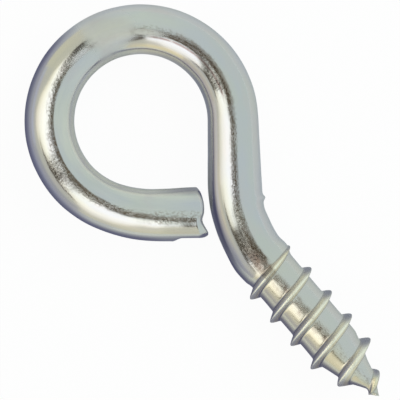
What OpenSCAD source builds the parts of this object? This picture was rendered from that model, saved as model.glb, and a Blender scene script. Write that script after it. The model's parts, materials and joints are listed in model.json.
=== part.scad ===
// Screw eye: a wire bent into a round eye, with a neck that cranks back into a shank
// carrying a coarse right-hand wood thread and a gimlet point.
//
// Millimetres. The eye lies in the XY plane with its centre at the origin, and the shank
// runs along +X beside it. The piece lies flat, as it comes to rest on a table.

/* [Overall] */
// Length from the far side of the eye to the point
overall_length = 40; // [36:0.5:60]

/* [Wire] */
// Diameter of the straight wire, in the neck and at the cut end
wire_d = 4.5; // [4.25:0.05:5]
// Diameter of the wire round the eye, where the bending has drawn it thinner
eye_wire_d = 4.15; // [3.6:0.05:4.8]

/* [Eye] */
// Clear diameter inside the eye
eye_inner_d = 11.1; // [9.5:0.1:13]
// How far the shank's axis lies to one side of the eye's centre
shank_offset = 0.2; // [-0.5:0.05:0.5]

/* [Neck] */
// Angle between the straight neck and the shank
neck_angle = 38.5; // [34:0.5:44]
// Centreline radius of the bend that brings the neck into line with the shank
neck_bend_r = 10.6; // [8:0.1:12]

/* [Tail] */
// Turn round the eye, from the shank's direction, at which the tail leaves the circle
tail_start_angle = 298; // [290:1:304]
// Centreline radius of the flatter bend that follows the circle
tail_bend_r = 10.9; // [9:0.1:13]
// Angle turned by that bend
tail_bend_angle = 22.5; // [16:0.5:28]

/* [Cut end] */
// Gap between the cut end and the neck
throat_gap = 0.65; // [0.2:0.05:1.2]
// Radius to which the shears rounded the cut face
cut_dome_r = 2.6; // [2.4:0.1:4]
// Radius of the burr at the outer edge of the cut face
burr_r = 0.6; // [0.4:0.05:0.8]
// Length of the pinch mark left behind the burr
pinch_length = 2; // [1.2:0.1:2.4]
// Depth of the pinch mark
pinch_depth = 0.3; // [0.1:0.05:0.5]

/* [Thread] */
// Diameter of the core between the turns
core_d = 4.2; // [3.8:0.05:4.4]
// Diameter over the crests
thread_d = 5.55; // [5.1:0.05:6.2]
// Distance from turn to turn
pitch = 2.57; // [2:0.01:3.2]
// Width of a turn where it rises from the core
thread_base_w = 1; // [0.8:0.05:1.4]
// Width of the crest
crest_w = 0.3; // [0.15:0.05:0.5]
// How far the middle of the crest stands above its edges
crest_round = 0.06; // [0.03:0.01:0.1]
// How far up the neck's bend the thread starts
thread_lead = 0.2; // [0:0.05:0.5]
// Angle round the shank at which the thread starts
thread_start_angle = -60; // [-180:5:180]
// Turn over which the thread rises to its full height
thread_run_in = 180; // [90:5:270]
// Turn over which the thread dies out at the point
thread_run_out = 200; // [90:5:300]

/* [Point] */
// Length of the tapered core, in all
point_length = 5.4; // [4.6:0.1:7]
// Length of the steeper cone at the tip
tip_length = 3.4; // [2.6:0.1:4]
// Core diameter where the steeper cone starts
tip_base_d = 2.95; // [2.4:0.05:3.4]
// Diameter of the blunt end
blunt_d = 0.3; // [0.2:0.05:0.6]
// Length over which the crests close in on the point
crest_taper_length = 4.4; // [3.6:0.1:6]
// Diameter to which the crests close in at the end
crest_end_d = 1.2; // [0.9:0.05:1.6]

/* [Hidden] */

$fn = 96;
// Steps in one turn of the thread
TURN_STEPS = 36;
// Room by which cutting shapes run past the wire
CLEAR = 1;
// Where two stretches of wire meet, the slimmer runs this far into the stouter
LAP = 0.1;
// and the stouter is this much larger in radius
HAIR = 0.01;

wire_r = wire_d / 2;
eye_wire_r = eye_wire_d / 2;
core_r = core_d / 2;
thread_r = thread_d / 2;
blunt_r = blunt_d / 2;

// --- Centreline, worked out from the eye to the shank and from the eye to the cut end ---

// Radius of the wire's centreline round the eye
eye_r = eye_inner_d / 2 + eye_wire_r;

// The neck leaves the circle as its tangent
neck_start_angle = 90 - neck_angle;
neck_start = eye_r * [cos(neck_start_angle), sin(neck_start_angle)];
// Height of the bend's start above the shank's axis
bend_rise = neck_bend_r * (1 - cos(neck_angle));
neck_length = (neck_start.y - shank_offset - bend_rise) / sin(neck_angle);
bend_start = neck_start + neck_length * [cos(neck_angle), -sin(neck_angle)];
bend_centre = bend_start + neck_bend_r * [sin(neck_angle), cos(neck_angle)];
shank_x = bend_centre.x;
tip_x = overall_length - eye_r - eye_wire_r;

// The tail leaves the circle on a flatter bend and then runs straight to the cut
tail_centre = (eye_r - tail_bend_r) * [cos(tail_start_angle), sin(tail_start_angle)];
tail_end_angle = tail_start_angle + tail_bend_angle;
tail_end = tail_centre + tail_bend_r * [cos(tail_end_angle), sin(tail_end_angle)];
tail_heading = tail_end_angle + 90;
tail_dir = [cos(tail_heading), sin(tail_heading)];
// The cut end stops short of the neck's bend: this is where the tail's line meets a circle
// round the bend's centre, outside the bend by the throat gap
stop_r = neck_bend_r + wire_r + throat_gap;
to_bend = bend_centre - tail_end;
along = to_bend * tail_dir;
tail_length = along - sqrt(stop_r * stop_r - (to_bend * to_bend - along * along));

// --- Shank and thread ---

// The wire keeps its full size for one crest's width, and steps down to the core in the
// width of another turn's flank
shoulder_x = shank_x + crest_w;
core_x = shoulder_x + thread_base_w / 2;
taper_x = tip_x - point_length;
tip_base_x = tip_x - tip_length;
// Sideways spread of a flank for each millimetre of its height
flank_slope = (thread_base_w - crest_w) / 2 / (thread_r - crest_round - core_r);
// Depth to which the thread's foot is rooted in the core
foot_depth = 0.25;
thread_start_x = shank_x - thread_lead;
// The thread's last section stops short of the blunt end by half its foot
thread_end_x = tip_x - thread_base_w / 2;
thread_turn = (thread_end_x - thread_start_x) / pitch * 360;
thread_steps = ceil(thread_turn / 360 * TURN_STEPS);

// Radius of the core at a place along the shank
function core_at(x) =
    x < taper_x ? core_r
    : x < tip_base_x ? mix(core_r, tip_base_d / 2, (x - taper_x) / (tip_base_x - taper_x))
    : mix(tip_base_d / 2, blunt_r, (x - tip_base_x) / tip_length);

// Radius of the crests there, at full height
function crest_at(x) =
    min(thread_r, mix(crest_end_d / 2, thread_r, (tip_x - x) / crest_taper_length));

// Share of the full height after a turn from the thread's start
function rise_at(turn) =
    min(1, ease(turn / thread_run_in), ease((thread_turn - turn) / thread_run_out));

function mix(a, b, t) = a + (b - a) * t;
function ease(t) = sin(90 * max(0, min(1, t)));

// Section of the thread after a turn from its start: five points, foot to crest to foot
function thread_section(turn) =
    let (
        x = thread_start_x + turn / 360 * pitch,
        core = core_at(x),
        edge = mix(core, crest_at(x) - crest_round, rise_at(turn)),
        foot = max(core - foot_depth, core / 2),
        foot_w = crest_w / 2 + (edge - foot) * flank_slope
    )
    [for (p = [[-foot_w, foot], [-crest_w / 2, edge], [0, edge + crest_round],
               [crest_w / 2, edge], [foot_w, foot]])
        on_turn(x + p.x, p.y, thread_start_angle + turn)];

function on_turn(x, r, angle) = [x, shank_offset + r * cos(angle), r * sin(angle)];

// The thread's turns, as one ridge swept along its helix
module thread_ridge() {
    sections = [for (i = [0:thread_steps]) thread_section(thread_turn * i / thread_steps)];
    points = [for (section = sections) each section];
    corners = len(sections[0]);
    sides = [for (i = [0:thread_steps - 1], k = [0:corners - 1])
        let (
            a = i * corners + k,
            b = i * corners + (k + 1) % corners,
            c = a + corners,
            d = b + corners
        )
        each [[a, b, d], [a, d, c]]];
    last = thread_steps * corners;
    start_cap = [for (k = [1:corners - 2]) [0, k + 1, k]];
    end_cap = [for (k = [1:corners - 2]) [last, last + k, last + k + 1]];
    polyhedron(points, concat(sides, start_cap, end_cap));
}

// Shank: full wire, core and gimlet point, turned about its own axis
module shank() {
    outline = [
        [0, shank_x],
        [wire_r, shank_x],
        [wire_r, shoulder_x],
        [core_r, core_x],
        [core_r, taper_x],
        [tip_base_d / 2, tip_base_x],
        [blunt_r, tip_x],
        [0, tip_x]
    ];
    translate([0, shank_offset, 0])
        rotate([0, 90, 0])
            rotate_extrude()
                polygon(outline);
}

// Round wire bent about a centre in the eye's plane, between two angles, and run on by
// a lap at both ends
module bent_wire(centre, bend_r, r, from, to, lap = 0) {
    lap_angle = lap / bend_r * 180 / PI;
    translate(centre)
        rotate(from - lap_angle)
            rotate_extrude(angle = to - from + 2 * lap_angle)
                translate([bend_r, 0])
                    circle(r);
}

// Straight neck, growing from the eye's wire to the full wire, and let into the eye
module neck() {
    translate(neck_start)
        rotate(-neck_angle)
            translate([-LAP, 0, 0])
                rotate([0, 90, 0])
                    cylinder(h = neck_length + LAP, r1 = eye_wire_r - HAIR, r2 = wire_r);
}

// Side view of the sheared end, with the cut at x = 0 and the eye's inside towards +Y
module cut_profile() {
    burr_y = burr_r - wire_r + pinch_depth / 2;
    dome_y = wire_r / 3;
    // The face lies this far behind the foremost points of dome and burr
    face_x = -burr_r / 4;
    // The body of the wire reaches up to the start of the rounded corner
    corner_x = -burr_r;
    difference() {
        union() {
            translate([-tail_length - CLEAR, -wire_r - CLEAR])
                square([tail_length + CLEAR + corner_x, 2 * wire_r + 2 * CLEAR]);
            translate([corner_x - CLEAR, burr_y])
                square([face_x - corner_x + CLEAR, dome_y - burr_y]);
            translate([-cut_dome_r, dome_y])
                circle(cut_dome_r);
        }
        polygon([
            [-pinch_length - burr_r, -wire_r],
            [-pinch_length, pinch_depth - wire_r],
            [CLEAR, pinch_depth - wire_r],
            [CLEAR, -wire_r - 2 * CLEAR],
            [-pinch_length - burr_r, -wire_r - 2 * CLEAR]
        ]);
    }
    translate([burr_r / 3 - burr_r, burr_y])
        circle(burr_r);
}

// Straight tail, ending in the form that the shears left
module tail() {
    translate(tail_end)
        rotate(tail_heading)
            intersection() {
                rotate([0, 90, 0])
                    cylinder(h = tail_length + CLEAR, r1 = eye_wire_r, r2 = wire_r);
                translate([tail_length, 0, -wire_r - CLEAR])
                    linear_extrude(2 * wire_r + 2 * CLEAR)
                        cut_profile();
            }
}

module screw_eye() {
    color([0.76, 0.78, 0.76])
        union() {
            tail();
            // Tail's bend
            bent_wire(tail_centre, tail_bend_r, eye_wire_r - HAIR,
                      tail_start_angle, tail_end_angle, LAP);
            // Eye
            bent_wire([0, 0], eye_r, eye_wire_r, neck_start_angle, tail_start_angle);
            neck();
            // Neck's bend
            bent_wire(bend_centre, neck_bend_r, wire_r - HAIR, 270 - neck_angle, 270, LAP);
            shank();
            thread_ridge();
        }
}

screw_eye();
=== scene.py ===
"""Screw eye of bright zinc-plated wire, lying on a white table and seen from straight above.

The wire is one skin: rings of points along its centreline, whose radius follows the wire's
thickness, the thread, the point and the sheared end. Lengths are millimetres until a mesh,
lamp or camera is made. The name "at" stands for a distance along the wire from its cut end,
and "across" for one to the left of its centreline, on the way from there to the point.
"""
import json
import math

import bpy
import numpy as np
from mathutils import Matrix, Vector


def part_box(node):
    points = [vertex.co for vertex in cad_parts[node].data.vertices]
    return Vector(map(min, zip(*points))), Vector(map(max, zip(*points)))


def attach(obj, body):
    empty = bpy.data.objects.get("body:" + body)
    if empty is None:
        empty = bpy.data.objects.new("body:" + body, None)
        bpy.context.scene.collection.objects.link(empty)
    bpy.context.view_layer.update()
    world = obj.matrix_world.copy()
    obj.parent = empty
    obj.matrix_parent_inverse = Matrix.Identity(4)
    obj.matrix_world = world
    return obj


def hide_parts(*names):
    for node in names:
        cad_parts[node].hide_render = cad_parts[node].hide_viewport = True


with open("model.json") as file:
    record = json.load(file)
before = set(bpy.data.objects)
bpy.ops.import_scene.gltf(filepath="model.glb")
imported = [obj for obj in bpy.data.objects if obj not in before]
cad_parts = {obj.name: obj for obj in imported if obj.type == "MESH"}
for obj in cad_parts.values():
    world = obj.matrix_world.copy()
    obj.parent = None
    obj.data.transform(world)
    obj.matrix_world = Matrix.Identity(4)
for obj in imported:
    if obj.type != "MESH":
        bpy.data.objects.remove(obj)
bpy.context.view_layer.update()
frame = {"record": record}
NODE = "screw_eye"
MM = 0.001
TURN = 2 * math.pi

# --- Sizes: from the frame where it holds them, and otherwise as the part's source has them ---

MOUNTS = {mount["name"]: mount for mount in frame["record"]["mounts"]}
LOW, HIGH = ([v / MM for v in corner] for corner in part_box(NODE))
EYE_INNER_R = MOUNTS["eye"]["dims"]["r_mm"]
THREAD_R = MOUNTS["screw_thread"]["dims"]["r_mm"]
SHANK_Y = MOUNTS["screw_thread"]["pos_m"][1] / MM
TIP_X = HIGH[0]
FLOOR_Z = LOW[2]

WIRE_R = 4.5 / 2
EYE_WIRE_R = 4.15 / 2
NECK_ANGLE = math.radians(38.5)
NECK_BEND_R = 10.6
TAIL_START = math.radians(298)
TAIL_BEND_R = 10.9
TAIL_BEND = math.radians(22.5)
THROAT_GAP = 0.65
PINCH_LENGTH = 2.0
PINCH_DEPTH = 0.3
CORE_R = 4.2 / 2
PITCH = 2.57
CREST_W = 0.3
SHOULDER_W = 0.5
THREAD_LEAD = 0.2
THREAD_START = math.radians(-60)
THREAD_RUN_IN = math.radians(180)
THREAD_RUN_OUT = math.radians(200)
POINT_LENGTH = 5.4
CREST_TAPER_LENGTH = 4.4
CREST_END_R = 1.2 / 2

# --- Forms of the skin that are finer than the source's ---

# Length over which one bend runs into the next, and over which one thickness does
BEND_BLEND = 1.2
STATION_BLEND = 0.3
# The wire is this much thinner just past the cut than at it
CUT_SPREAD_LENGTH = 1.5
CUT_SPREAD = 0.02
# Swelling for a bend of 1 mm radius, and the contrary one that the shears left at the end
BEND_SWELL = 1.1
END_SWELL = 0.55
END_SWELL_LENGTH = 8.5
# Core radius and sideways shift of the pinched-off point, at distances back from its end
TIP_CORE = [(3.4, 1.475), (2.2, 1.06), (1.05, 0.44), (0.6, 0.44), (0.0, 0.26)]
TIP_SHIFT = [(2.8, 0.0), (1.05, 0.18), (0.6, -0.02), (0.0, -0.2)]
# The point ends on a slant, further back on the side away from +Y
TIP_SLANT = 0.9
TIP_SLANT_LENGTH = 0.9
# How far the mesh's last point stands out of its last ring
TIP_CAP = 0.04

# A turn's middle lies this far from its foot on the head's side and on the point's side
FLANK_HEAD = 0.5
FLANK_POINT = 0.4
CREST_ROUNDING = 0.8
THREAD_FILLET = 0.11
THREAD_STOP = 0.5
# The rolled thread stands a little higher on the side away from +Y, less so towards the point,
# and not at all within a share of this length from it
THREAD_LEAN = 0.1
THREAD_LEAN_LENGTH = 9.0
THREAD_LEAN_FROM = 0.5
# Towards the point the turns grow lower and blunter
END_SPREAD = 1.8
END_SPREAD_LENGTH = 3.6

# Rounding of the cut face's rim. The face's own form is felt for FACE_REACH along the wire.
RIM_ROUND = 0.5
FACE_REACH = 1.0
# The cut face stands out by its crown, falls away towards the eye's inside, above and below,
# and has a notch and a burr, each with its height, place towards the inside, and width
FACE_CROWN = 0.1
FACE_FLAT = 0.5
FACE_FALL = 6.5
FACE_HEIGHT_FALL = 30
FACE_NOTCH = (-0.17, -0.45, 0.4)
FACE_BURR = (0.32, -1.6, 0.5)
# The pinch mark starts before the face and ends this far past its length, on soft slopes
PINCH_SLOPE = 0.8
PINCH_BEFORE = 0.25
PINCH_PAST = 0.5
PINCH_FILLET = 0.08
# Where there is no pinch mark, its bottom lies well outside the wire
NO_PINCH = -9

# Swellings and dents: place, length, side (degrees from the wire's left), spread and height
LUMPS = [
    (0.9, 1.3, 160, 40, 0.07),
    (40.5, 5.0, 0, 75, 0.07),
    (47.95, 0.26, 0, 36, 0.20),
    (49.0, 0.8, 0, 45, -0.08),
    (52.7, 0.9, 180, 60, 0.10),
    (53.35, 0.65, 15, 60, 0.15),
    (67.9, 0.35, 95, 30, -0.10),
    (67.75, 0.25, 185, 45, 0.10),
]

# Slight waves in the drawn wire: their number, and the ranges that each is drawn from
WAVE_COUNT = 14
WAVE_LENGTHS = (1.5, 7)
WAVE_LOBES = (-3, 4)
WAVE_PHASES = (0, 6.28)
WAVE_HEIGHTS = (0.0005, 0.002)
rng = np.random.default_rng(8)
WAVES = [
    (rng.uniform(*WAVE_LENGTHS), int(rng.integers(*WAVE_LOBES)),
     rng.uniform(*WAVE_PHASES), rng.uniform(*WAVE_HEIGHTS))
    for _ in range(WAVE_COUNT)
]

# --- Grid of the skin ---

POINTS_ROUND = 128
# Distance between rings along the plain wire, along the thread, and next to the cut
WIRE_STEP = 0.14
THREAD_STEP = 0.05
CUT_STEP = 0.06
CUT_ZONE = 3.0
# The thread's close rings start this far before it
THREAD_ZONE_LEAD = 1
RIM_RINGS = 10
# Rings that close the cut face, as shares of its rim
FACE_SHARES = [0.97, 0.93, 0.87, 0.8, 0.7, 0.6, 0.5, 0.4, 0.3, 0.2, 0.1]
# Step of the centreline from which the rings are picked
FINE_STEP = 0.01


def ease(t):
    return np.sin(np.clip(t, 0, 1) * math.pi / 2)


def smooth_max(a, b, fillet):
    return (a + b + np.sqrt((a - b) ** 2 + fillet ** 2)) / 2


def bump(value, centre, width):
    return np.exp(-((value - centre) / width) ** 2)


def spaced(start, end, step):
    return np.linspace(start, end, math.ceil((end - start) / step), endpoint=False)


def smoothed(values, width):
    """Values at FINE_STEP along the wire, averaged twice over a width."""
    count = max(1, round(width / FINE_STEP / 2)) * 2 + 1
    kernel = np.ones(count) / count
    for _ in range(2):
        padded = np.pad(values, count // 2, mode="edge")
        values = np.convolve(padded, kernel, mode="valid")
    return values


# --- Centreline ---

def wire_stretches():
    """Lengths and curvatures of the stretches from the point back to the cut end."""
    eye_r = EYE_INNER_R + EYE_WIRE_R
    neck_start = eye_r * np.array([math.sin(NECK_ANGLE), math.cos(NECK_ANGLE)])
    rise = NECK_BEND_R * (1 - math.cos(NECK_ANGLE))
    neck_length = (neck_start[1] - SHANK_Y - rise) / math.sin(NECK_ANGLE)
    along_neck = np.array([math.cos(NECK_ANGLE), -math.sin(NECK_ANGLE)])
    side = np.array([math.sin(NECK_ANGLE), math.cos(NECK_ANGLE)])
    bend_centre = neck_start + neck_length * along_neck + NECK_BEND_R * side

    out = np.array([math.cos(TAIL_START), math.sin(TAIL_START)])
    end_angle = TAIL_START + TAIL_BEND
    tail_end = (eye_r - TAIL_BEND_R) * out
    tail_end = tail_end + TAIL_BEND_R * np.array([math.cos(end_angle), math.sin(end_angle)])
    tail_dir = np.array([-math.sin(end_angle), math.cos(end_angle)])
    to_bend = bend_centre - tail_end
    along = to_bend @ tail_dir
    stop_r = NECK_BEND_R + WIRE_R + THROAT_GAP
    tail_length = along - math.sqrt(stop_r ** 2 - (to_bend @ to_bend - along ** 2))

    eye_turn = TAIL_START - (math.pi / 2 - NECK_ANGLE)
    return [
        (TIP_X - bend_centre[0], 0.0),
        (NECK_BEND_R * NECK_ANGLE, -1 / NECK_BEND_R),
        (neck_length, 0.0),
        (eye_r * eye_turn, 1 / eye_r),
        (TAIL_BEND_R * TAIL_BEND, 1 / TAIL_BEND_R),
        (tail_length, 0.0),
    ]


class Centreline:
    """Places and directions along the wire, from the cut end to the point."""

    def __init__(self):
        stretches = wire_stretches()
        self.length = sum(length for length, _ in stretches)
        count = round(self.length / FINE_STEP)
        from_tip = (np.arange(count) + 0.5) * self.length / count
        ends = np.cumsum([length for length, _ in stretches])
        bend = np.array([bend for _, bend in stretches])
        curvature = smoothed(bend[np.searchsorted(ends, from_tip)], BEND_BLEND)
        step = self.length / count
        heading = math.pi + np.concatenate([[0], np.cumsum(curvature) * step])
        mid = (heading[1:] + heading[:-1]) / 2
        x = TIP_X + np.concatenate([[0], np.cumsum(np.cos(mid)) * step])
        y = SHANK_Y + np.concatenate([[0], np.cumsum(np.sin(mid)) * step])
        self.at = np.linspace(0, self.length, count + 1)
        self.x = x[::-1]
        self.y = y[::-1]
        self.bend = np.append(curvature, curvature[-1])[::-1]
        self.heading = heading[::-1] - math.pi
        back, shift = zip(*TIP_SHIFT[::-1])
        self.shift = smoothed(np.interp(self.length - self.at, back, shift), STATION_BLEND)
        self.shank_at, self.bend_at, self.neck_at, self.eye_at = self.length - ends[:4]

    def place(self, at):
        """Place and heading. Past either end the wire runs on straight."""
        inside = np.clip(at, 0, self.length)
        heading = np.interp(inside, self.at, self.heading)
        x = np.interp(inside, self.at, self.x) + (at - inside) * np.cos(heading)
        y = np.interp(inside, self.at, self.y) + (at - inside) * np.sin(heading)
        return x, y + np.interp(inside, self.at, self.shift), heading

    def points(self, at, across, height):
        x, y, heading = self.place(at)
        return np.stack([x - across * np.sin(heading), y + across * np.cos(heading), height], -1)


# --- Skin ---

class Wire:
    """The radius of the wire's skin at each distance along it and angle round it. The angle
    starts at the wire's left and rises over its top."""

    def __init__(self, line):
        self.line = line
        tip = line.length
        shoulder = line.shank_at + CREST_W
        stations = [
            (0, WIRE_R),
            (CUT_SPREAD_LENGTH, WIRE_R - CUT_SPREAD),
            (line.eye_at, EYE_WIRE_R),
            (line.neck_at, EYE_WIRE_R),
            (line.bend_at, WIRE_R),
            (shoulder, WIRE_R),
            (shoulder + SHOULDER_W, CORE_R),
            (tip - POINT_LENGTH, CORE_R),
        ]
        stations += [(tip - back, radius) for back, radius in TIP_CORE]
        radii = np.interp(line.at, *zip(*stations))
        self.plain = smoothed(radii, STATION_BLEND)

    def radius(self, at, angle):
        plain = self.unthreaded_radius(at, angle)
        skin = smooth_max(plain, self.thread_radius(at, angle), THREAD_FILLET)
        return skin + self.waves(at, angle) + self.swell(at, angle)

    def unthreaded_radius(self, at, angle):
        return self.plain_radius(at) + self.lumps(at, angle)

    def plain_radius(self, at):
        return np.interp(at, self.line.at, self.plain)

    def lumps(self, at, angle):
        """Swellings and dents that the bending and the shears left."""
        total = np.zeros(np.broadcast(at, angle).shape)
        for place, length, side, spread, height in LUMPS:
            turn = np.angle(np.exp(1j * (angle - math.radians(side))))
            total = total + height * bump(at, place, length) * bump(turn, 0, math.radians(spread))
        return total

    def waves(self, at, angle):
        """Slight unevenness left by drawing and bending."""
        total = np.zeros(np.broadcast(at, angle).shape)
        for length, lobes, phase, height in WAVES:
            total = total + height * np.cos(TURN * at / length + lobes * angle + phase)
        return total

    def swell(self, at, angle):
        """Bending thickens the wire towards the inside of the bend, on both faces, and the
        shears thicken its end towards the outside."""
        height = BEND_SWELL * np.interp(at, self.line.at, self.line.bend)
        height = height - END_SWELL * np.clip(1 - at / END_SWELL_LENGTH, 0, 1)
        return -height * np.cos(angle) * np.sin(angle) ** 2

    def thread_radius(self, at, angle):
        """Radius of the nearest turn of the thread, which is below the core between turns."""
        start = self.line.shank_at - THREAD_LEAD
        end = self.line.length - THREAD_STOP
        last_turn = TURN * (end - start) / PITCH
        per_angle = PITCH / TURN
        turn = angle - THREAD_START
        turn = turn + TURN * np.round(((at - start) / per_angle - turn) / TURN)
        crest_at = start + turn * per_angle
        to_tip = self.line.length - crest_at

        run_in = ease(turn / THREAD_RUN_IN)
        rise = np.minimum(run_in, ease((last_turn - turn) / THREAD_RUN_OUT))
        taper = to_tip / CREST_TAPER_LENGTH
        full = np.minimum(THREAD_R, CREST_END_R + (THREAD_R - CREST_END_R) * taper)
        lean = THREAD_LEAN * np.clip(to_tip / THREAD_LEAN_LENGTH - THREAD_LEAN_FROM, 0, 1)
        full = full - lean * np.cos(angle) * run_in
        core = self.plain_radius(crest_at)
        crest = core + (full - core) * rise

        foot = np.where(at < crest_at, FLANK_HEAD, FLANK_POINT)
        spread = 1 + END_SPREAD * np.clip(1 - to_tip / END_SPREAD_LENGTH, 0, 1)
        flank = (foot - CREST_W / 2) / (THREAD_R - CORE_R) * spread
        nose = CREST_W / 2 * CREST_ROUNDING
        fall = (np.sqrt((at - crest_at) ** 2 + nose ** 2) - nose) / flank
        return np.where((turn < 0) | (turn > last_turn), 0, crest - fall)


def ring_places(line):
    """Distances from the cut end at which the skin has a ring."""
    corner = RIM_ROUND * (1 - np.sin(np.linspace(0, math.pi / 2, RIM_RINGS + 1)[:0:-1]))
    thread_at = line.shank_at - THREAD_ZONE_LEAD
    cut = spaced(RIM_ROUND, CUT_ZONE, CUT_STEP)
    wire = spaced(CUT_ZONE, thread_at, WIRE_STEP)
    thread = spaced(thread_at, line.length, THREAD_STEP)
    return np.concatenate([corner, cut, wire, thread, [line.length]])


def angles_round():
    return np.linspace(0, TURN, POINTS_ROUND, endpoint=False)


def wire_points(line, wire):
    """Rings of the skin from the cut to the point, as an array of rings, points and axes."""
    at = ring_places(line)[:, None]
    angle = angles_round()[None, :]
    radius = wire.radius(at, angle)
    across = pinched(radius * np.cos(angle), at)
    at = np.broadcast_to(at, across.shape)
    short = np.clip(RIM_ROUND - at, 0, RIM_ROUND)
    keep = 1 - (RIM_ROUND - np.sqrt(RIM_ROUND ** 2 - short ** 2)) / WIRE_R
    across, height = across * keep, radius * np.sin(angle) * keep
    hold = np.clip(1 - at / FACE_REACH, 0, 1) ** 2
    at = at - face_form(-across, height) * hold
    near_tip = np.clip(1 - (line.length - at) / TIP_SLANT_LENGTH, 0, 1)
    tip_r = TIP_CORE[-1][1]
    at = at - TIP_SLANT * (tip_r - across) * near_tip ** 2
    return line.points(at, across, height)


def pinched(across, at):
    """Gives the first rings the pinch mark on the wire's outer side."""
    inward = -across
    pinch = ease((PINCH_LENGTH + PINCH_PAST - at) / PINCH_SLOPE)
    pinch = pinch * ease((at + PINCH_BEFORE) / PINCH_SLOPE)
    limit = np.where(pinch > 0, PINCH_DEPTH * pinch - WIRE_R, NO_PINCH)
    return -np.where(at < CUT_ZONE, smooth_max(inward, limit, PINCH_FILLET), inward)


def face_form(inward, height):
    """How far the cut face stands out at a place on it."""
    crown = FACE_CROWN - np.clip(inward - FACE_FLAT, 0, None) ** 2 / FACE_FALL
    form = crown - height ** 2 / FACE_HEIGHT_FALL
    for stand, place, width in (FACE_NOTCH, FACE_BURR):
        form = form + stand * bump(inward, place, width)
    return form


def face_points(line, wire):
    """Rings that close the cut face, from its rounded rim to near its middle."""
    angle = angles_round()
    radius = wire.radius(np.zeros_like(angle), angle)
    keep = 1 - RIM_ROUND / WIRE_R
    rim_across = pinched(radius * np.cos(angle), np.zeros_like(angle)) * keep
    rim_height = radius * np.sin(angle) * keep
    rings = []
    for share in FACE_SHARES:
        across, height = rim_across * share, rim_height * share
        rings.append(line.points(-face_form(-across, height), across, height))
    return rings


def skin_mesh(name, points, face_rings):
    """A closed mesh of the rings, with the rings of the cut face before them and a point at
    each end."""
    rings = list(reversed(face_rings)) + list(points)
    start = face_rings[-1].mean(0)
    end = points[-1].mean(0) + np.array([TIP_CAP, 0, 0])
    verts = np.concatenate([np.concatenate(rings), [start, end]]) * MM

    count = len(rings)
    n = POINTS_ROUND
    ring, point = np.meshgrid(np.arange(count - 1), np.arange(n), indexing="ij")
    after = (point + 1) % n
    corners = [(ring + 1) * n + point, (ring + 1) * n + after, ring * n + after, ring * n + point]
    quads = np.stack(corners, -1).reshape(-1, 4)
    step = np.arange(n)
    next_step = (step + 1) % n
    last_ring = (count - 1) * n
    start_fan = np.stack([step, next_step, np.full(n, count * n)], -1)
    end_fan = np.stack([last_ring + next_step, last_ring + step, np.full(n, count * n + 1)], -1)

    mesh = bpy.data.meshes.new(name)
    mesh.from_pydata(verts.tolist(), [], quads.tolist() + start_fan.tolist() + end_fan.tolist())
    mesh.shade_smooth()
    mesh.validate()
    return mesh


def make_screw_eye():
    line = Centreline()
    wire = Wire(line)
    face_rings = face_points(line, wire)
    mesh = skin_mesh("screw_eye_skin", wire_points(line, wire), face_rings)
    store_straight_place(mesh, line, wire)
    piece = bpy.data.objects.new("screw_eye_skin", mesh)
    bpy.context.scene.collection.objects.link(piece)
    return piece


# For the painted shade on flanks that face the eye: the slope at which a flank counts as fully
# turned to the eye, how much of it a level crest has, and the share of a turn's rise from which
# its flank counts in full
HEAD_FLANK_SLOPE = 1.4
CREST_SLOPE = 0.5
FLANK_FROM = 0.15
# How much of the flank's painted shade is left where the thread crosses the top
TOP_SHADE = 0.08


def store_straight_place(mesh, line, wire):
    """Keeps what the finish follows: each point's place on the straightened wire in mm, how far
    it stands up on the thread, how much painted shade it gets on a flank that faces the eye,
    most towards the wire's sides, and how far it faces -Y."""
    at = ring_places(line)[:, None]
    angle = angles_round()[None, :]
    radius = wire.radius(at, angle)
    across, height = radius * np.cos(angle), radius * np.sin(angle)
    straight = np.stack([np.broadcast_to(at, radius.shape), across, height], -1)
    face = [straight[0] * [0, share, share] for share in FACE_SHARES[::-1]]
    ends = [[[0, 0, 0], [line.length, 0, 0]]]
    vectors = np.concatenate([*face, *straight, *ends]).astype(np.float32)
    place = mesh.attributes.new("straight_place", "FLOAT_VECTOR", "POINT")
    place.data.foreach_set("vector", vectors.ravel())

    threaded = at > line.shank_at - THREAD_ZONE_LEAD
    stand = wire.thread_radius(at, angle) - wire.unthreaded_radius(at, angle)
    rise = np.clip(stand / (THREAD_R - CORE_R), 0, 1)
    slope = np.gradient(radius, at[:, 0], axis=0) * threaded
    # Mask of the painted shade on flanks that face the eye
    flank = np.clip((slope + CREST_SLOPE) / HEAD_FLANK_SLOPE, 0, 1)
    flank = flank * np.clip(rise / FLANK_FROM, 0, 1)
    flank = flank * (TOP_SHADE + (1 - TOP_SHADE) * np.cos(angle) ** 4)
    facing = -np.cos(angle) * np.cos(line.place(at)[2])
    for name, values in (("thread_rise", rise), ("head_flank_shade", flank), ("facing_low_y", facing)):
        face_values = np.zeros(len(FACE_SHARES) * POINTS_ROUND)
        values = np.concatenate([face_values, values.ravel(), [0, 0]])
        layer = mesh.attributes.new(name, "FLOAT", "POINT")
        layer.data.foreach_set("value", values.astype(np.float32))


# --- Materials ---

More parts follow.
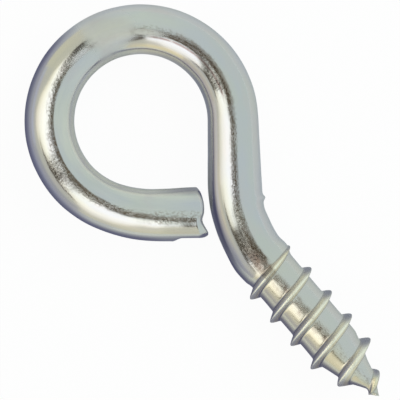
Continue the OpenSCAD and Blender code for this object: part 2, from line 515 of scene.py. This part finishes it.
class Nodes:
    """Short calls for building a node tree. A value is a plain number or a node's output."""

    # Places of a mix node's colours among its sockets
    MIX_LOW = 6
    MIX_HIGH = 7
    MIX_RESULT = 2

    def __init__(self, owner):
        self.tree = owner.node_tree

    def add(self, kind, inputs=None, **settings):
        node = self.tree.nodes.new(kind)
        for key, value in settings.items():
            setattr(node, key, value)
        for key, value in (inputs or {}).items():
            self.feed(node.inputs[key], value)
        return node

    def feed(self, socket, value):
        if isinstance(value, bpy.types.NodeSocket):
            self.tree.links.new(value, socket)
        else:
            socket.default_value = value

    def attribute(self, name, output):
        return self.add("ShaderNodeAttribute", attribute_name=name).outputs[output]

    def math(self, operation, *values):
        node = self.add("ShaderNodeMath", operation=operation)
        for socket, value in zip(node.inputs, values):
            self.feed(socket, value)
        return node.outputs[0]

    def times(self, first, *others):
        """The product of one or more values."""
        product = first
        for value in others:
            product = self.math("MULTIPLY", product, value)
        return product

    def fade(self, value, low, high, to_low=0.0, to_high=1.0):
        """Goes from to_low to to_high as a value goes from low to high. Either may be larger."""
        node = self.add("ShaderNodeMapRange", {"Value": value, "From Min": low, "From Max": high,
                                               "To Min": to_low, "To Max": to_high})
        return node.outputs["Result"]

    def span(self, value, fade_in, fade_out):
        """1 within a span of a value, which fades in over one pair and out over the other."""
        waning, end = fade_out
        return self.times(self.fade(value, *fade_in), self.fade(value, end, waning))

    def outside(self, value, fade_out, fade_in):
        """1 outside a span of a value."""
        full, start = fade_out
        return self.math("MAXIMUM", self.fade(value, start, full), self.fade(value, *fade_in))

    def noise(self, place, stretch, detail=2.0, roughness=0.5):
        """Noise whose grains are about as long as stretch says, in millimetres."""
        scaled = self.add("ShaderNodeVectorMath", {0: place, 1: [1 / v for v in stretch]},
                          operation="MULTIPLY")
        node = self.add("ShaderNodeTexNoise", {"Vector": scaled.outputs[0], "Scale": 1.0,
                                               "Detail": detail, "Roughness": roughness})
        return node.outputs["Fac"]

    def mix(self, share, low, high):
        node = self.add("ShaderNodeMix", data_type="RGBA")
        self.feed(node.inputs["Factor"], share)
        self.feed(node.inputs[self.MIX_LOW], low)
        self.feed(node.inputs[self.MIX_HIGH], high)
        return node.outputs[self.MIX_RESULT]

    def tint(self, film, color, *shares):
        """A film with a colour over it, as strong as the product of the shares."""
        return self.mix(self.times(*shares), film, color)


# A noise's grain is its length in mm along the wire, across it and up. A pair of numbers is a
# range over which a mark fades in or out: in mm along the wire or across it, in the noise or
# the thread's rise, from 0 to 1, or in how far the skin faces -Y, from -1 to 1.

FINE_DETAIL = 3.0
# Where the wire's finish gives way to the thread's
THREAD_FINISH = (52.5, 55.0)
# The wire's left faces -Y before this place, halfway round the eye, and +Y after it
TURNS_OVER = (26.9, 27.1)


class SkinPlaces:
    """What the finish follows, as the mesh keeps it. See store_straight_place."""

    def __init__(self, n):
        self.place = n.attribute("straight_place", "Vector")
        axes = n.add("ShaderNodeSeparateXYZ", {0: self.place}).outputs
        self.at = axes[0]
        self.across = axes[1]
        self.rise = n.attribute("thread_rise", "Fac")
        self.head_flank_shade = n.attribute("head_flank_shade", "Fac")
        self.facing = n.attribute("facing_low_y", "Fac")
        self.threaded = n.fade(self.at, *THREAD_FINISH)
        # Distance from the line along the wire's top, towards -Y
        self.low_side = n.times(self.across, n.fade(self.at, *TURNS_OVER, 1.0, -1.0))


# Film of the plain wire: clouds, a paler coat towards the cut, a blush, and the thread's yellow,
# which is partly painted warm reflection on its -Y side
FILM_BLUE = (0.585, 0.60, 0.635, 1)
FILM_GREEN = (0.60, 0.62, 0.59, 1)
FILM_PALE = (0.72, 0.72, 0.64, 1)
FILM_PINK = (0.62, 0.60, 0.60, 1)
YELLOW_AND_WARM_REFLECTION = (0.72, 0.69, 0.55, 1)
CLOUD_GRAIN = (6.0, 2.2, 2.2)
CLOUD_FADE = (0.38, 0.62)
PALE_GRAIN = (9.0, 1.4, 1.4)
PALE_FADE = (0.35, 0.65)
PALE_END = (36.0, 24.0)
PALE_SHARE = 0.8
BLUSH_GRAIN = (2.6, 1.1, 1.1)
BLUSH_FADE = (0.52, 0.72)
BLUSH_SHARE = 0.6
YELLOW_FACING = (-0.2, 0.3)
YELLOW_SHARES = (0.2, 0.85)


def plain_film(n, skin):
    """Thin clouded film, blue to green, with yellow on the thread where it faces -Y, which is
    partly a yellow film and partly painted warm reflection on that side.
    """
    cloud = n.fade(n.noise(skin.place, CLOUD_GRAIN), *CLOUD_FADE)
    film = n.mix(cloud, FILM_BLUE, FILM_GREEN)
    pale = n.fade(n.noise(skin.place, PALE_GRAIN, FINE_DETAIL), *PALE_FADE)
    film = n.tint(film, FILM_PALE, n.fade(skin.at, *PALE_END), pale, PALE_SHARE)
    blush = n.noise(skin.place, BLUSH_GRAIN, FINE_DETAIL)
    blush = n.fade(blush, *BLUSH_FADE, 0.0, BLUSH_SHARE)
    film = n.tint(film, FILM_PINK, blush)
    # Yellow only where the thread faces -Y: partly film, partly painted warm reflection
    yellow = n.fade(skin.facing, *YELLOW_FACING, *YELLOW_SHARES)
    return n.tint(film, YELLOW_AND_WARM_REFLECTION, skin.threaded, yellow)


# Colour along the wire's right, which is the eye's inside. A warm band there is a painted warm
# reflection, and a dark rim that goes on over the neck, with another dark rim on the tail, is
# painted shade.
INNER_WARM_REFLECTION = (0.82, 0.77, 0.62, 1)
RIM_SHADE = (0.33, 0.33, 0.36, 1)
INNER_SPAN = (27.0, 30.0), (49.0, 52.0)
INNER_ACROSS = (-1.15, -1.4)
RIM_SPAN = (28.0, 37.0), (51.0, 54.0)
RIM_ACROSS = (-1.55, -1.85)
TAIL_RIM_END = (4.2, 1.2)
TAIL_RIM_ACROSS = (-1.5, -1.8)
TAIL_RIM_SHARE = 0.7


def rim_painted_light_and_shade(n, skin, film):
    # Painted warm reflection on the eye's inside
    inner = n.fade(skin.across, *INNER_ACROSS)
    film = n.tint(film, INNER_WARM_REFLECTION, n.span(skin.at, *INNER_SPAN), inner)
    # Painted shade on the rims inside the eye and, below, on the tail
    rim = n.fade(skin.across, *RIM_ACROSS)
    film = n.tint(film, RIM_SHADE, n.span(skin.at, *RIM_SPAN), rim)
    tail_rim = n.fade(skin.across, *TAIL_RIM_ACROSS)
    return n.tint(film, RIM_SHADE, n.fade(skin.at, *TAIL_RIM_END), tail_rim, TAIL_RIM_SHARE)


# Colours of the thread's ridge: painted shade at its foot, a warm film on its flanks that is
# lighter than the foot as painted light, a painted highlight at its crest, and painted shade
# where it stands out towards +Y and where it faces the eye
ROOT_SHADE = (0.42, 0.42, 0.38, 1)
FLANK_FILM_AND_LIGHT = (0.86, 0.80, 0.58, 1)
CREST_HIGHLIGHT = (0.96, 0.95, 0.80, 1)
LOBE_SHADE = (0.38, 0.38, 0.41, 1)
HEAD_FLANK_SHADE = (0.30, 0.30, 0.36, 1)
ROOT_SPAN = (0.0, 0.05), (0.12, 0.3)
FLANK_RISE = (0.05, 0.4)
CREST_RISE = (0.55, 0.85)
LOBE_RISE = (0.1, 0.4)
LOBE_FACING = (-0.7, -0.92)
LOBE_SHARE = 0.75
HEAD_FLANK_FADE = (0.05, 0.9)
HEAD_FLANK_SHARE = 0.95


def ridge_film_and_painted_light(n, skin, film):
    # Painted shade at the foot, painted light up the flanks and a painted highlight at the crest
    film = n.tint(film, ROOT_SHADE, n.span(skin.rise, *ROOT_SPAN))
    film = n.tint(film, FLANK_FILM_AND_LIGHT, n.fade(skin.rise, *FLANK_RISE))
    film = n.tint(film, CREST_HIGHLIGHT, n.fade(skin.rise, *CREST_RISE))
    # Painted shade on the lobes that stand out towards +Y and on the flanks that face the eye
    lobe = n.fade(skin.facing, *LOBE_FACING)
    film = n.tint(film, LOBE_SHADE, n.fade(skin.rise, *LOBE_RISE), lobe, LOBE_SHARE)
    head_flank_shade = n.fade(skin.head_flank_shade, *HEAD_FLANK_FADE, 0.0, HEAD_FLANK_SHARE)
    return n.tint(film, HEAD_FLANK_SHADE, head_flank_shade)


# Band along the wire's top that is dull and pimpled. It reaches further down the -Y side on
# some stretches, and lies lower on the tail.
BAND_ACROSS = (-0.42, -0.2), (0.16, 0.42)
WIDE_ACROSS = (-0.42, -0.2), (0.8, 1.05)
WIDE_STRETCHES = [(11.4, 14.2), (36.0, 38.6), (51.2, 54.5)]
WIDE_FADE = 0.8
TAIL_ACROSS = (0.05, 0.25), (0.6, 0.9)
TAIL_SPAN = (0.4, 0.9), (4.0, 5.5)


def top_band(n, skin):
    wide = 0.0
    for start, end in WIDE_STRETCHES:
        fade_in = (start - WIDE_FADE, start + WIDE_FADE)
        fade_out = (end - WIDE_FADE, end + WIDE_FADE)
        wide = n.math("MAXIMUM", wide, n.span(skin.at, fade_in, fade_out))
    wide = n.times(wide, n.span(skin.low_side, *WIDE_ACROSS))
    tail = n.times(n.span(skin.low_side, *TAIL_ACROSS), n.span(skin.at, *TAIL_SPAN))
    band = n.math("MAXIMUM", n.span(skin.low_side, *BAND_ACROSS), wide)
    return n.math("MAXIMUM", band, tail)


# Dull grains in the band, thicker in some patches, and none at the eye's far side. Their brown
# is partly painted dark reflection, deepening the line where the camera's dark outline reflects.
GRAIN_AND_REFLECTION_BROWN = (0.20, 0.145, 0.10, 1)
SPECK_GRAIN = (0.26, 0.2, 0.2)
SPECK_FADE = (0.48, 0.58)
SPECK_SHARE = 0.34
PATCH_GRAIN = (1.8, 1.0, 1.0)
PATCH_FADE = (0.40, 0.66)
PATCH_SHARES = (0.5, 1.0)
CLEAR_SPAN = (21.8, 22.8), (28.8, 30.0)


def dull_grains(n, skin, band):
    patch = n.fade(n.noise(skin.place, PATCH_GRAIN), *PATCH_FADE, *PATCH_SHARES)
    grain = n.fade(n.noise(skin.place, SPECK_GRAIN), *SPECK_FADE)
    return n.times(grain, patch, band, n.outside(skin.at, *CLEAR_SPAN))


# Painted dark reflection in brown: on the eye near the neck, deepening the line where the
# camera's dark outline reflects, and on the reverse bend, where the window's dark bar reflects
DARK_REFLECTION_PATCHES = [
    {"across": ((-0.3, -0.14), (0.12, 0.26)), "at": ((31.4, 34.0), (38.6, 41.0)), "share": 0.6},
    {"across": ((-0.3, -0.14), (0.75, 0.95)), "at": ((50.6, 52.0), (54.4, 55.2)), "share": 0.55},
]


def painted_dark_reflections(n, skin, film):
    # Painted dark reflection, in brown
    for dark_patch in DARK_REFLECTION_PATCHES:
        where = n.times(n.span(skin.low_side, *dark_patch["across"]), n.span(skin.at, *dark_patch["at"]))
        film = n.tint(film, GRAIN_AND_REFLECTION_BROWN, where, dark_patch["share"])
    return film


# Brown blotches between the turns of the thread, near their top: partly real blotches and partly
# painted dark reflection of the camera's dark outline
BLOTCH_AND_REFLECTION_BROWN = (0.28, 0.20, 0.155, 1)
BLOTCH_GRAIN = (0.8, 0.5, 0.5)
BLOTCH_RAGGEDNESS = 0.6
BLOTCH_FADE = (0.47, 0.62)
BLOTCH_FACING = (-0.25, -0.08), (0.2, 0.42)
BLOTCH_SPAN = (51.0, 53.0), (61.0, 64.0)
BLOTCH_RISE = (0.3, 0.1)
BLOTCH_SHARE = 0.6


def blotches_and_dark_reflection(n, skin, film):
    blotch = n.noise(skin.place, BLOTCH_GRAIN, FINE_DETAIL, BLOTCH_RAGGEDNESS)
    where = n.times(n.span(skin.facing, *BLOTCH_FACING), n.span(skin.at, *BLOTCH_SPAN),
                    n.fade(skin.rise, *BLOTCH_RISE))
    # Brown blotches that partly paint the dark reflection between the turns
    return n.tint(film, BLOTCH_AND_REFLECTION_BROWN, n.fade(blotch, *BLOTCH_FADE), where, BLOTCH_SHARE)


# A broken brown line along the eye's top, which the drawing left. It swings a little across
# the wire over MARK_SWING.
MARK_BROWN = (0.24, 0.16, 0.15, 1)
MARK_SWING = (30.0, 37.0)
MARK_ACROSS = (-0.64, -0.50)
MARK_WIDTH = (0.13, 0.03)
MARK_SPAN = (29.6, 30.4), (38.6, 39.8)
MARK_GRAIN = (0.9, 0.3, 0.3)
MARK_FADE = (0.32, 0.5)
MARK_SHARES = (0.35, 1.0)
MARK_SHARE = 0.75


def marked_film(n, skin, film):
    middle = n.fade(skin.at, *MARK_SWING, *MARK_ACROSS)
    off = n.math("ABSOLUTE", n.math("SUBTRACT", skin.across, middle))
    line = n.times(n.fade(off, *MARK_WIDTH), n.span(skin.at, *MARK_SPAN))
    broken = n.noise(skin.place, MARK_GRAIN, FINE_DETAIL)
    broken = n.fade(broken, *MARK_FADE, *MARK_SHARES)
    return n.tint(film, MARK_BROWN, line, broken, MARK_SHARE)


# Fine lines that the drawing left, as a difference in gloss and a slight relief
DRAWN_GRAIN = (5.0, 0.12, 0.12)
DRAWN_FADE = (0.3, 0.7)
DRAWN_ROUGHNESS = (0.12, 0.17)
DRAWN_RELIEF = 0.12
# What is added to the roughness on the thread, on the grains, on the ridge and on a matt patch
THREAD_ROUGHNESS = 0.07
SPECK_ROUGHNESS = 0.17
RIDGE_ROUGHNESS = 0.16
MATT_ROUGHNESS = 0.4
# The matt patch lies at the eye's far side, with a thin tongue at each end
MATT_SPAN = (24.2, 25.6), (27.8, 29.2)
MATT_FACING = (-0.5, -0.2), (0.1, 0.34)
TONGUE_ACROSS = (0.05, -0.2), (-0.35, -0.55)
TONGUE_SPAN = (21.8, 23.2), (30.0, 31.8)
TONGUE_GAP = (24.0, 25.0), (28.0, 29.0)


def roughness(n, skin, drawn, grains):
    matt = n.times(n.span(skin.at, *MATT_SPAN), n.span(skin.facing, *MATT_FACING))
    tongues = n.times(n.span(skin.across, *TONGUE_ACROSS), n.outside(skin.at, *TONGUE_GAP),
                      n.span(skin.at, *TONGUE_SPAN))
    matt = n.math("MAXIMUM", matt, tongues)
    total = n.fade(drawn, *DRAWN_FADE, *DRAWN_ROUGHNESS)
    for share, more in ((skin.threaded, THREAD_ROUGHNESS), (grains, SPECK_ROUGHNESS),
                        (n.fade(skin.rise, *FLANK_RISE), RIDGE_ROUGHNESS), (matt, MATT_ROUGHNESS)):
        total = n.math("ADD", total, n.times(share, more))
    return total


# Pimples of the plating, with their height in metres and their share outside the band
PIMPLE_GRAIN = (0.22, 0.16, 0.16)
PIMPLE_HEIGHT = 0.000010
PIMPLE_SHARES = (0.12, 1.0)


def relief(n, skin, drawn, band):
    pimples = n.noise(skin.place, PIMPLE_GRAIN)
    height = n.times(pimples, n.fade(band, 0.0, 1.0, *PIMPLE_SHARES))
    height = n.math("ADD", height, n.times(drawn, DRAWN_RELIEF))
    node = n.add("ShaderNodeBump", {"Height": height, "Distance": PIMPLE_HEIGHT, "Strength": 1.0})
    return node.outputs[0]


# Tint of the metal where it is seen at a grazing angle
GRAZING_TINT = (0.76, 0.78, 0.82, 1)


def zinc_plate():
    """Zinc with a thin bluish passivation film: bright, finely pimpled and speckled with brown
    along the top, yellower and duller on the thread. Painted into its colour are dark
    reflection along the top and on the reverse bend, shade at the thread's roots, lobes and
    eye-facing flanks and on the rims inside the eye, highlights on the crests, and warm
    reflection inside the eye and on the thread's -Y side."""
    material = bpy.data.materials.new("zinc_plated_steel")
    material.use_nodes = True
    n = Nodes(material)
    skin = SkinPlaces(n)
    band = top_band(n, skin)
    grains = dull_grains(n, skin, band)
    drawn = n.noise(skin.place, DRAWN_GRAIN)

    film = plain_film(n, skin)
    film = rim_painted_light_and_shade(n, skin, film)
    film = ridge_film_and_painted_light(n, skin, film)
    # Brown on the dull grains, which also paints the dark reflection along the top
    film = n.tint(film, GRAIN_AND_REFLECTION_BROWN, grains, SPECK_SHARE)
    film = painted_dark_reflections(n, skin, film)
    film = blotches_and_dark_reflection(n, skin, film)
    film = marked_film(n, skin, film)

    shader = material.node_tree.nodes["Principled BSDF"]
    n.feed(shader.inputs["Base Color"], film)
    n.feed(shader.inputs["Roughness"], roughness(n, skin, drawn, grains))
    n.feed(shader.inputs["Normal"], relief(n, skin, drawn, band))
    shader.inputs["Metallic"].default_value = 1.0
    shader.inputs["Specular Tint"].default_value = GRAZING_TINT
    return material


def card_material():
    """Studio card that glows in the colour kept at each of its corners."""
    material = bpy.data.materials.new("studio_card")
    material.use_nodes = True
    material.node_tree.nodes.clear()
    n = Nodes(material)
    color = n.attribute("glow", "Color")
    glow = n.add("ShaderNodeEmission", {"Color": color, "Strength": 1.0})
    n.add("ShaderNodeOutputMaterial", {"Surface": glow.outputs[0]})
    return material


TABLE_COLOR = (0.78, 0.79, 0.80, 1)
TABLE_ROUGHNESS = 0.9
# Shares of plain white in what the camera and the metal see of the table
CAMERA_LIFT = 0.955
MIRROR_LIFT = 0.10
WHITE = (1, 1, 1, 1)


def table_material():
    """White table. To the camera it is lifted most of the way to plain white, and to the metal
    a little, so that the shadow stays faint."""
    material = bpy.data.materials.new("white_table")
    material.use_nodes = True
    n = Nodes(material)
    shader = material.node_tree.nodes["Principled BSDF"]
    shader.inputs["Base Color"].default_value = TABLE_COLOR
    shader.inputs["Roughness"].default_value = TABLE_ROUGHNESS
    shader.inputs["Specular IOR Level"].default_value = 0.0
    path = n.add("ShaderNodeLightPath").outputs
    mirrored = n.math("MAXIMUM", path["Is Glossy Ray"], path["Is Transmission Ray"])
    seen = n.times(path["Is Camera Ray"], CAMERA_LIFT)
    lift = n.math("ADD", seen, n.times(mirrored, MIRROR_LIFT))
    white = n.add("ShaderNodeEmission", {"Color": WHITE, "Strength": 1.0})
    mix = n.add("ShaderNodeMixShader", {0: lift, 1: shader.outputs[0], 2: white.outputs[0]})
    n.feed(material.node_tree.nodes["Material Output"].inputs["Surface"], mix.outputs[0])
    return material


# --- Stage ---

# Place of the photograph's middle on the part, and its width, on a 12 px to the mm scale
PX_PER_MM = 12.0
PHOTO_PX = 400
VIEW_X = 8.208
VIEW_Y = -0.528
VIEW_WIDTH = PHOTO_PX / PX_PER_MM
# The shank points this far below the picture's horizontal
SHANK_SLOPE = math.radians(49.7)
CAMERA_HEIGHT = 450.0
SENSOR_WIDTH = 36
CLIP_RANGE = (0.01, 10)

TABLE_SIZE = 1600
TABLE_GAP = 0.01

LAMP_PLACE = (60, 720, 480)
LAMP_SIZE = 0.7
LAMP_COLOR = (1.0, 0.99, 0.97)
LAMP_WATTS = 3.5
TENT = (0.735, 0.811, 0.79, 1)

PATCH_STEPS = 48
CREAM = (0.76, 0.74, 0.61)
LIT_CREAM = (0.93, 0.88, 0.73)
WARM_GREY = (0.68, 0.67, 0.62)
COOL_GREY = (0.50, 0.50, 0.56)
BLUE_GREY = (0.58, 0.60, 0.72)
LENS = (0.15, 0.112, 0.07)
DARK = (0.045, 0.034, 0.024)
BROWN = (0.085, 0.068, 0.048)
PANE = ((1.6, 1.58, 1.50), (1.6, 1.59, 1.54), (1.5, 1.45, 1.30), (1.05, 0.98, 0.80))
# Far tilts of the camera's dark outline at every 15 degrees of azimuth from +X
LENS_TILTS = (2, 2, 6, 10, 12, 12, 12, 12, 10, 8, 6, 9, 13,
              18, 8, 4, 5, 12, 15, 15, 12, 18, 16, 6, 2)
WALL_R = 1000.0
CAMERA_R = 400.0
PANE_R = 330.0
FRAME_R = 310.0
# What the metal shows besides the pale tent: a window of two panes in its dark frame, towards
# -Y, and the wall round it. Distance, azimuths from +X, near and far tilts from the zenith,
# colours, and whether it also counts in the light on the table.
STUDIO = {
    "wall_left": (WALL_R, (-192, -160), (10,), (92,), (CREAM, CREAM), True),
    "wall_blue": (WALL_R, (-160, -118), (10,), (92,), (WARM_GREY,) * 7 + (BLUE_GREY,) * 2, True),
    "wall_middle": (WALL_R, (-118, -76), (10,), (92,), (WARM_GREY,) * 8 + (COOL_GREY,) * 2, True),
    "wall_right": (WALL_R, (-76, -46), (34,), (92,), (LIT_CREAM, LIT_CREAM, CREAM), True),
    "wall_far_right": (WALL_R, (-46, -30), (34,), (92,), (CREAM, CREAM), True),
    "lens": (CAMERA_R, (0, 360), (0,), LENS_TILTS, (LENS, LENS), False),
    "pane_left": (PANE_R, (-170, -107), (34, 14, 7, 5, 6, 12, 30), (36, 43, 54, 67, 67, 62, 50),
                  PANE, False),
    "pane_right": (PANE_R, (-92, -47), (46, 19, 18, 17, 16, 21, 34), (54, 63, 70, 76, 73, 64, 48),
                   PANE, False),
    "frame_bar": (FRAME_R, (-107, -92), (0,), (58,), (DARK, BROWN, BROWN), False),
    "frame_sill": (FRAME_R, (-120, -80), (56, 51, 51, 60), (58, 57, 57, 63), (BROWN, BROWN), False),
    "frame_right": (FRAME_R, (-46, -30), (8,), (39, 57), (LENS, BROWN), False),
    "frame_left": (FRAME_R, (-190, -162), (19, 13, 6, 1, 0), (36, 35, 33, 25, 14),
                   (BROWN, DARK, BROWN), False),
}


def make_world():
    """Pale tent round the stage. The camera sees it as white."""
    world = bpy.data.worlds.new("tent")
    world.use_nodes = True
    background = world.node_tree.nodes["Background"]
    n = Nodes(world)
    seen = n.add("ShaderNodeLightPath").outputs["Is Camera Ray"]
    n.feed(background.inputs["Color"], n.mix(seen, TENT, WHITE))
    background.inputs["Strength"].default_value = 1.0
    bpy.context.scene.world = world


def make_camera():
    right = Vector((math.cos(SHANK_SLOPE), math.sin(SHANK_SLOPE), 0))
    up = Vector((-math.sin(SHANK_SLOPE), math.cos(SHANK_SLOPE), 0))
    turn = Matrix((right, up, Vector((0, 0, 1)))).transposed().to_4x4()
    data = bpy.data.cameras.new("camera")
    data.sensor_width = SENSOR_WIDTH
    data.lens = data.sensor_width * CAMERA_HEIGHT / VIEW_WIDTH
    data.clip_start, data.clip_end = CLIP_RANGE
    camera = bpy.data.objects.new("camera", data)
    camera.matrix_world = Matrix.Translation(Vector((VIEW_X, VIEW_Y, CAMERA_HEIGHT)) * MM) @ turn
    bpy.context.scene.collection.objects.link(camera)
    bpy.context.scene.camera = camera


def make_floor():
    half = TABLE_SIZE / 2 * MM
    mesh = bpy.data.meshes.new("table")
    corners = [(-half, -half, 0), (half, -half, 0), (half, half, 0), (-half, half, 0)]
    mesh.from_pydata(corners, [], [(0, 1, 2, 3)])
    floor = bpy.data.objects.new("table", mesh)
    floor.matrix_world = Matrix.Translation(Vector((0, 0, FLOOR_Z - TABLE_GAP)) * MM)
    bpy.context.scene.collection.objects.link(floor)
    floor.data.materials.append(table_material())


def make_table_lamp():
    """Broad lamp on the +Y side that lights the table and throws the shadow towards -Y."""
    lamp = bpy.data.lights.new("table_lamp", "AREA")
    lamp.size = LAMP_SIZE
    lamp.energy = LAMP_WATTS
    lamp.color = LAMP_COLOR
    obj = bpy.data.objects.new("table_lamp", lamp)
    place = Vector(LAMP_PLACE) * MM
    turn = place.to_track_quat("Z", "Y").to_matrix().to_4x4()
    obj.matrix_world = Matrix.Translation(place) @ turn
    obj.visible_glossy = False
    bpy.context.scene.collection.objects.link(obj)


def graded(share, colors):
    """Colours at shares of the way from the first colour to the last."""
    stops = np.linspace(0, 1, len(colors))
    return np.stack([np.interp(share, stops, channel) for channel in zip(*colors)], -1)


def make_card(name, verts, glow, keep, material, lights_floor):
    """A card that the metal shows and the camera doesn't, from a grid of corners in mm. Only
    the faces at the corners to keep are made."""
    rows, row = verts.shape[:2]
    faces = [(i * row + j, i * row + j + 1, (i + 1) * row + j + 1, (i + 1) * row + j)
             for i in range(rows - 1) for j in range(row - 1) if keep[i, j]]
    mesh = bpy.data.meshes.new(name)
    mesh.from_pydata((verts.reshape(-1, 3) * MM).tolist(), [], faces)
    colors = np.concatenate([glow.reshape(-1, 3), np.ones((rows * row, 1))], -1)
    mesh.attributes.new("glow", "FLOAT_COLOR", "POINT").data.foreach_set("color", colors.ravel())
    card = bpy.data.objects.new(name, mesh)
    bpy.context.scene.collection.objects.link(card)
    card.data.materials.append(material)
    card.visible_camera = False
    card.visible_shadow = False
    card.visible_diffuse = lights_floor


def dome_card(name, material, radius, azimuths, near, far, colors, lights_floor):
    """A card bent to the dome. It lies between two azimuths, and its near and far tilts from the
    zenith are given at even steps between. Its colours run from the near edge to the far one."""
    turns = np.linspace(0, 1, PATCH_STEPS + 1)
    azimuth = np.radians(azimuths[0] + (azimuths[1] - azimuths[0]) * turns)[:, None]
    inner, outer = (np.interp(turns, np.linspace(0, 1, len(tilts)), tilts) for tilts in (near, far))
    tilt = np.radians(inner[:, None] + (outer - inner)[:, None] * turns[None, :])
    out = radius * np.sin(tilt)
    verts = np.stack([out * np.cos(azimuth), out * np.sin(azimuth), radius * np.cos(tilt)], -1)
    glow = graded(np.broadcast_to(turns, tilt.shape), colors)
    make_card(name, verts, glow, np.ones(tilt.shape, bool), material, lights_floor)


# The painted shadow card's corners lie close together in the middle and far apart at its edge
FLOOR_CARD_REACH = 700.0
FLOOR_CARD_STEPS = 181
FLOOR_CARD_CROWDING = 6
FLOOR_CARD_LIFT = 0.05
# Its painted shadow colours, darkest next to the wire, at even steps between two distances from the
# wire's centreline
PAINTED_SHADOW_TONES = ((0.19, 0.195, 0.30), (0.40, 0.41, 0.52), (0.46, 0.46, 0.55), (0.48, 0.48, 0.55))
PAINTED_SHADOW_RANGE = (5, 35)
TABLE_TONE = (0.66, 0.69, 0.70)
LEAST_SHADE = 0.02
# The card lies on this range of sides of the wire, in degrees clockwise from +X
SHADE_SIDES = (26, 186)
SHADE_FADE = 22.0
# Inside the eye it is weaker, by these shares at these distances
EYE_SHADES = (0.25, 0.15)
EYE_SHADE_RANGE = (4, 8)
# Between these azimuths it gives way to the table's tone between these distances
LIT_SIDE = (-80, 0)
LIT_RANGE = (6, 18)
# About so many points of the centreline are enough to measure from
NEAR_POINTS = 400


def share_between(value, limits):
    low, high = limits
    return np.clip((value - low) / (high - low), 0, 1)


def eased_window(value, limits):
    low, high = limits
    return ease((value - low) / SHADE_FADE) * ease((high - value) / SHADE_FADE)


def make_painted_shadow_card(line, material):
    """A violet-grey card on the table along the wire's -Y side, which the metal shows as the wire's
    shadow on the table: a painted shadow. It is darkest next to the wire and fades into the
    table's own tone round the wire's other side."""
    crowded = np.sinh(np.linspace(-FLOOR_CARD_CROWDING, FLOOR_CARD_CROWDING, FLOOR_CARD_STEPS))
    spread = FLOOR_CARD_REACH * crowded / math.sinh(FLOOR_CARD_CROWDING)
    x, y = np.meshgrid(spread + VIEW_X, spread, indexing="ij")
    step = len(line.at) // NEAR_POINTS
    from_x = x[..., None] - line.x[::step]
    from_y = y[..., None] - line.y[::step]
    away = np.sqrt(from_x ** 2 + from_y ** 2)
    nearest = away.argmin(-1)[..., None]
    away, from_x, from_y = (np.take_along_axis(values, nearest, -1)[..., 0]
                            for values in (away, from_x, from_y))

    # Side of the wire that a corner of the card lies on, clockwise from +X
    side = np.degrees(np.arctan2(-from_x, -from_y)) + 90
    shadow_share = eased_window(side, SHADE_SIDES)
    inside_eye = np.hypot(x, y) < EYE_INNER_R + EYE_WIRE_R
    shadow_share = shadow_share * np.where(inside_eye, np.interp(away, EYE_SHADE_RANGE, EYE_SHADES), 1)
    lit = eased_window(np.degrees(np.arctan2(y, x)), LIT_SIDE)
    shadow_share = shadow_share * (1 - lit * share_between(away, LIT_RANGE))

    # Painted shadow: the wire's shadow on the table, darkest next to the wire
    glow = graded(share_between(away, PAINTED_SHADOW_RANGE), PAINTED_SHADOW_TONES)
    glow = glow + (np.array(TABLE_TONE) - glow) * (1 - shadow_share[..., None])
    verts = np.stack([x, y, np.full(x.shape, FLOOR_Z + FLOOR_CARD_LIFT)], -1)
    make_card("painted_shadow_card", verts, glow, shadow_share > LEAST_SHADE, material, False)


def make_studio(line):
    material = card_material()
    for name, settings in STUDIO.items():
        dome_card(name, material, *settings)
    make_painted_shadow_card(line, material)


make_world()
make_camera()
make_floor()
make_studio(Centreline())
make_table_lamp()

screw_eye = make_screw_eye()
screw_eye.data.materials.append(zinc_plate())
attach(screw_eye, "root")
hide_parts(NODE)
# The cards alone give the wire its tones: it doesn't show itself in its own shine
screw_eye.visible_glossy = False

bpy.context.scene.view_settings.view_transform = "Standard"
